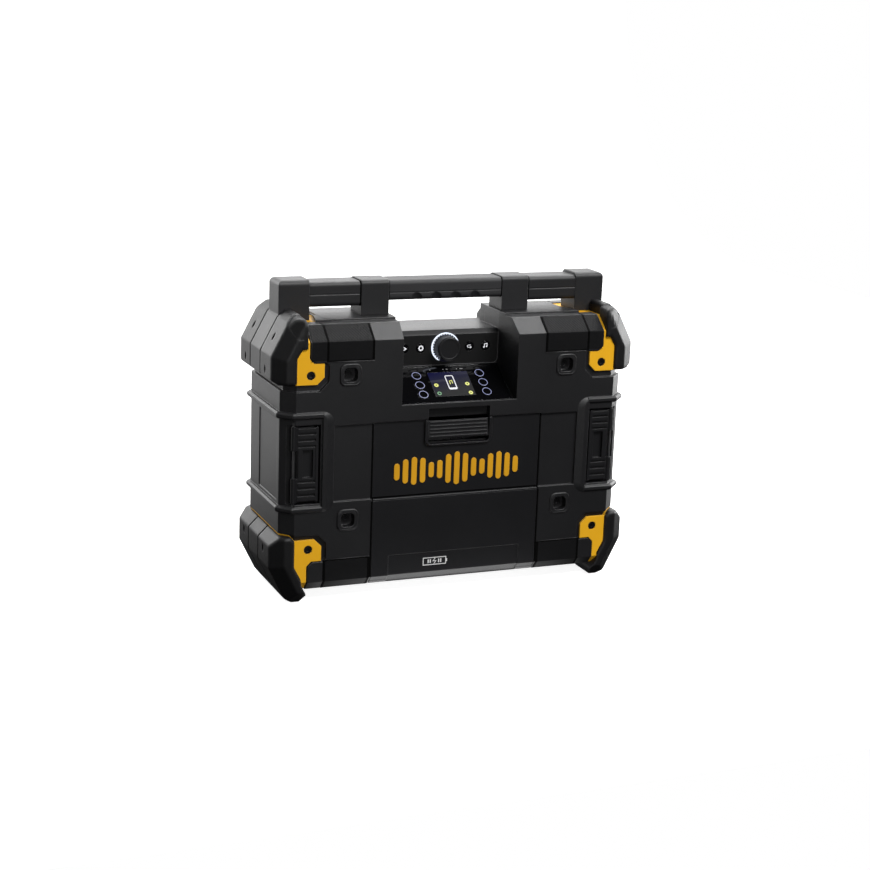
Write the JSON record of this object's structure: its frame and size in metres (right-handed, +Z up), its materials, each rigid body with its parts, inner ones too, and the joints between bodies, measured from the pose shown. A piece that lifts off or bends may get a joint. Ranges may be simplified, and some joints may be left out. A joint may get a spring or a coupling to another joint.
{
  "type": "jobsite radio",
  "caption": "Rugged box-shaped radio with corner guards, a top carrying handle, a sunk control panel with dial and keys, side latches and a drop-down front door.",
  "frame": {"origin": "on the floor under the middle of the case", "axes": "+X to the right seen from the front, +Y from the front towards the back, +Z up"},
  "size_m": [0.442, 0.145, 0.3612],
  "materials": {
    "case_plastic": "fine grain",
    "guard_plastic": "coarse grain",
    "accent_plastic": "fine grain",
    "grille_plastic": "fine grain",
    "speaker_cone": "matt",
    "handle_plastic": "fine grain",
    "grip_rubber": "soft",
    "bright_steel": "bright",
    "fascia_gloss": "polished",
    "display_glass": "polished",
    "light_diffuser": "lit from inside",
    "knob_plastic": "satin",
    "encoder_metal": "plain",
    "inner_plastic": "fine grain",
    "key_plastic": "satin",
    "circuit_board": "lacquered",
    "supply_case": "plain",
    "door_plastic": "fine grain",
    "latch_plastic": "fine grain",
    "seal_rubber": "soft",
    "socket_plastic": "polished"
  },
  "bodies": {
    "radio": {"front_housing": "case_plastic", "rear_housing": "case_plastic", "left_upper_guard": "guard_plastic", "left_lower_guard": "guard_plastic", "right_upper_guard": "guard_plastic", "right_lower_guard": "guard_plastic", "left_upper_bracket": "accent_plastic", "left_lower_bracket": "accent_plastic", "right_upper_bracket": "accent_plastic", "right_lower_bracket": "accent_plastic", "left_upper_grille": "grille_plastic", "left_lower_grille": "grille_plastic", "right_upper_grille": "grille_plastic", "right_lower_grille": "grille_plastic", "left_upper_driver": "speaker_cone", "left_lower_driver": "speaker_cone", "right_upper_driver": "speaker_cone", "right_lower_driver": "speaker_cone", "left_end_cap": "handle_plastic", "left_post": "handle_plastic", "left_bar_sleeve": "handle_plastic", "right_end_cap": "handle_plastic", "right_post": "handle_plastic", "right_bar_sleeve": "handle_plastic", "grip": "grip_rubber", "handle_tube": "bright_steel", "bracket_screws": "bright_steel", "housing_screws": "bright_steel", "latch_pins": "bright_steel", "door_hinge_pins": "bright_steel", "control_fascia": "fascia_gloss", "display_window": "display_glass", "light_ring": "light_diffuser", "encoder_body": "encoder_metal", "compartment_liner": "inner_plastic", "charger_dock": "inner_plastic", "mains_inlet": "inner_plastic", "control_board": "circuit_board", "main_board": "circuit_board", "power_supply": "supply_case", "door_seal": "seal_rubber", "media_sockets": "socket_plastic"},
    "door": {"front_door": "door_plastic", "latch_spring": "bright_steel"},
    "latch_tab": {"door_latch_tab": "latch_plastic"},
    "left_side_latch": {"left_latch": "latch_plastic"},
    "right_side_latch": {"right_latch": "latch_plastic"},
    "dial_rotor": {"encoder_rotor": "inner_plastic"},
    "dial": {"volume_knob": "knob_plastic", "encoder_shaft": "bright_steel"},
    "left_inner_key": {"left_inner_key": "key_plastic"},
    "left_outer_key": {"left_outer_key": "key_plastic"},
    "right_inner_key": {"right_inner_key": "key_plastic"},
    "right_outer_key": {"right_outer_key": "key_plastic"},
    "left_preset_key_1": {"left_preset_key_1": "key_plastic"},
    "left_preset_key_2": {"left_preset_key_2": "key_plastic"},
    "left_preset_key_3": {"left_preset_key_3": "key_plastic"},
    "right_preset_key_1": {"right_preset_key_1": "key_plastic"},
    "right_preset_key_2": {"right_preset_key_2": "key_plastic"},
    "right_preset_key_3": {"right_preset_key_3": "key_plastic"}
  },
  "joints": [
    {"name": "door_hinge", "type": "hinge", "parent": "radio", "child": "door", "pos_m": [0, -0.058, 0.024], "axis": [1, 0, 0], "range_deg": [0, 90]},
    {"name": "tab_slide", "type": "slide", "parent": "door", "child": "latch_tab", "axis": [0, 0, -1], "range_m": [0, 0.0035], "stiffness_N_per_m": 600, "springref_m": -0.002, "deforming": ["latch_spring"]},
    {"name": "left_latch_hinge", "type": "hinge", "parent": "radio", "child": "left_side_latch", "pos_m": [-0.1956, -0.0664, 0.163], "axis": [0, 0, -1], "range_deg": [0, 110]},
    {"name": "right_latch_hinge", "type": "hinge", "parent": "radio", "child": "right_side_latch", "pos_m": [0.1956, -0.0664, 0.163], "axis": [0, 0, 1], "range_deg": [0, 110]},
    {"name": "dial_spin", "type": "hinge", "parent": "radio", "child": "dial_rotor", "pos_m": [0, -0.0203, 0.2793], "axis": [0, 1, 0], "continuous": true},
    {"name": "dial_press", "type": "slide", "parent": "dial_rotor", "child": "dial", "axis": [0, 1, 0], "range_m": [0, 0.0008], "stiffness_N_per_m": 1500, "springref_m": -0.0005},
    {"name": "left_inner_key_press", "type": "slide", "parent": "radio", "child": "left_inner_key", "axis": [0, 1, 0], "range_m": [0, 0.0008], "stiffness_N_per_m": 800, "springref_m": -0.0005},
    {"name": "left_outer_key_press", "type": "slide", "parent": "radio", "child": "left_outer_key", "axis": [0, 1, 0], "range_m": [0, 0.0008], "stiffness_N_per_m": 800, "springref_m": -0.0005},
    {"name": "right_inner_key_press", "type": "slide", "parent": "radio", "child": "right_inner_key", "axis": [0, 1, 0], "range_m": [0, 0.0008], "stiffness_N_per_m": 800, "springref_m": -0.0005},
    {"name": "right_outer_key_press", "type": "slide", "parent": "radio", "child": "right_outer_key", "axis": [0, 1, 0], "range_m": [0, 0.0008], "stiffness_N_per_m": 800, "springref_m": -0.0005},
    {"name": "left_preset_key_1_press", "type": "slide", "parent": "radio", "child": "left_preset_key_1", "axis": [0, 0.5675, -0.8234], "range_m": [0, 0.0008], "stiffness_N_per_m": 800, "springref_m": -0.0005},
    {"name": "left_preset_key_2_press", "type": "slide", "parent": "radio", "child": "left_preset_key_2", "axis": [0, 0.5675, -0.8234], "range_m": [0, 0.0008], "stiffness_N_per_m": 800, "springref_m": -0.0005},
    {"name": "left_preset_key_3_press", "type": "slide", "parent": "radio", "child": "left_preset_key_3", "axis": [0, 0.5675, -0.8234], "range_m": [0, 0.0008], "stiffness_N_per_m": 800, "springref_m": -0.0005},
    {"name": "right_preset_key_1_press", "type": "slide", "parent": "radio", "child": "right_preset_key_1", "axis": [0, 0.5675, -0.8234], "range_m": [0, 0.0008], "stiffness_N_per_m": 800, "springref_m": -0.0005},
    {"name": "right_preset_key_2_press", "type": "slide", "parent": "radio", "child": "right_preset_key_2", "axis": [0, 0.5675, -0.8234], "range_m": [0, 0.0008], "stiffness_N_per_m": 800, "springref_m": -0.0005},
    {"name": "right_preset_key_3_press", "type": "slide", "parent": "radio", "child": "right_preset_key_3", "axis": [0, 0.5675, -0.8234], "range_m": [0, 0.0008], "stiffness_N_per_m": 800, "springref_m": -0.0005}
  ]
}
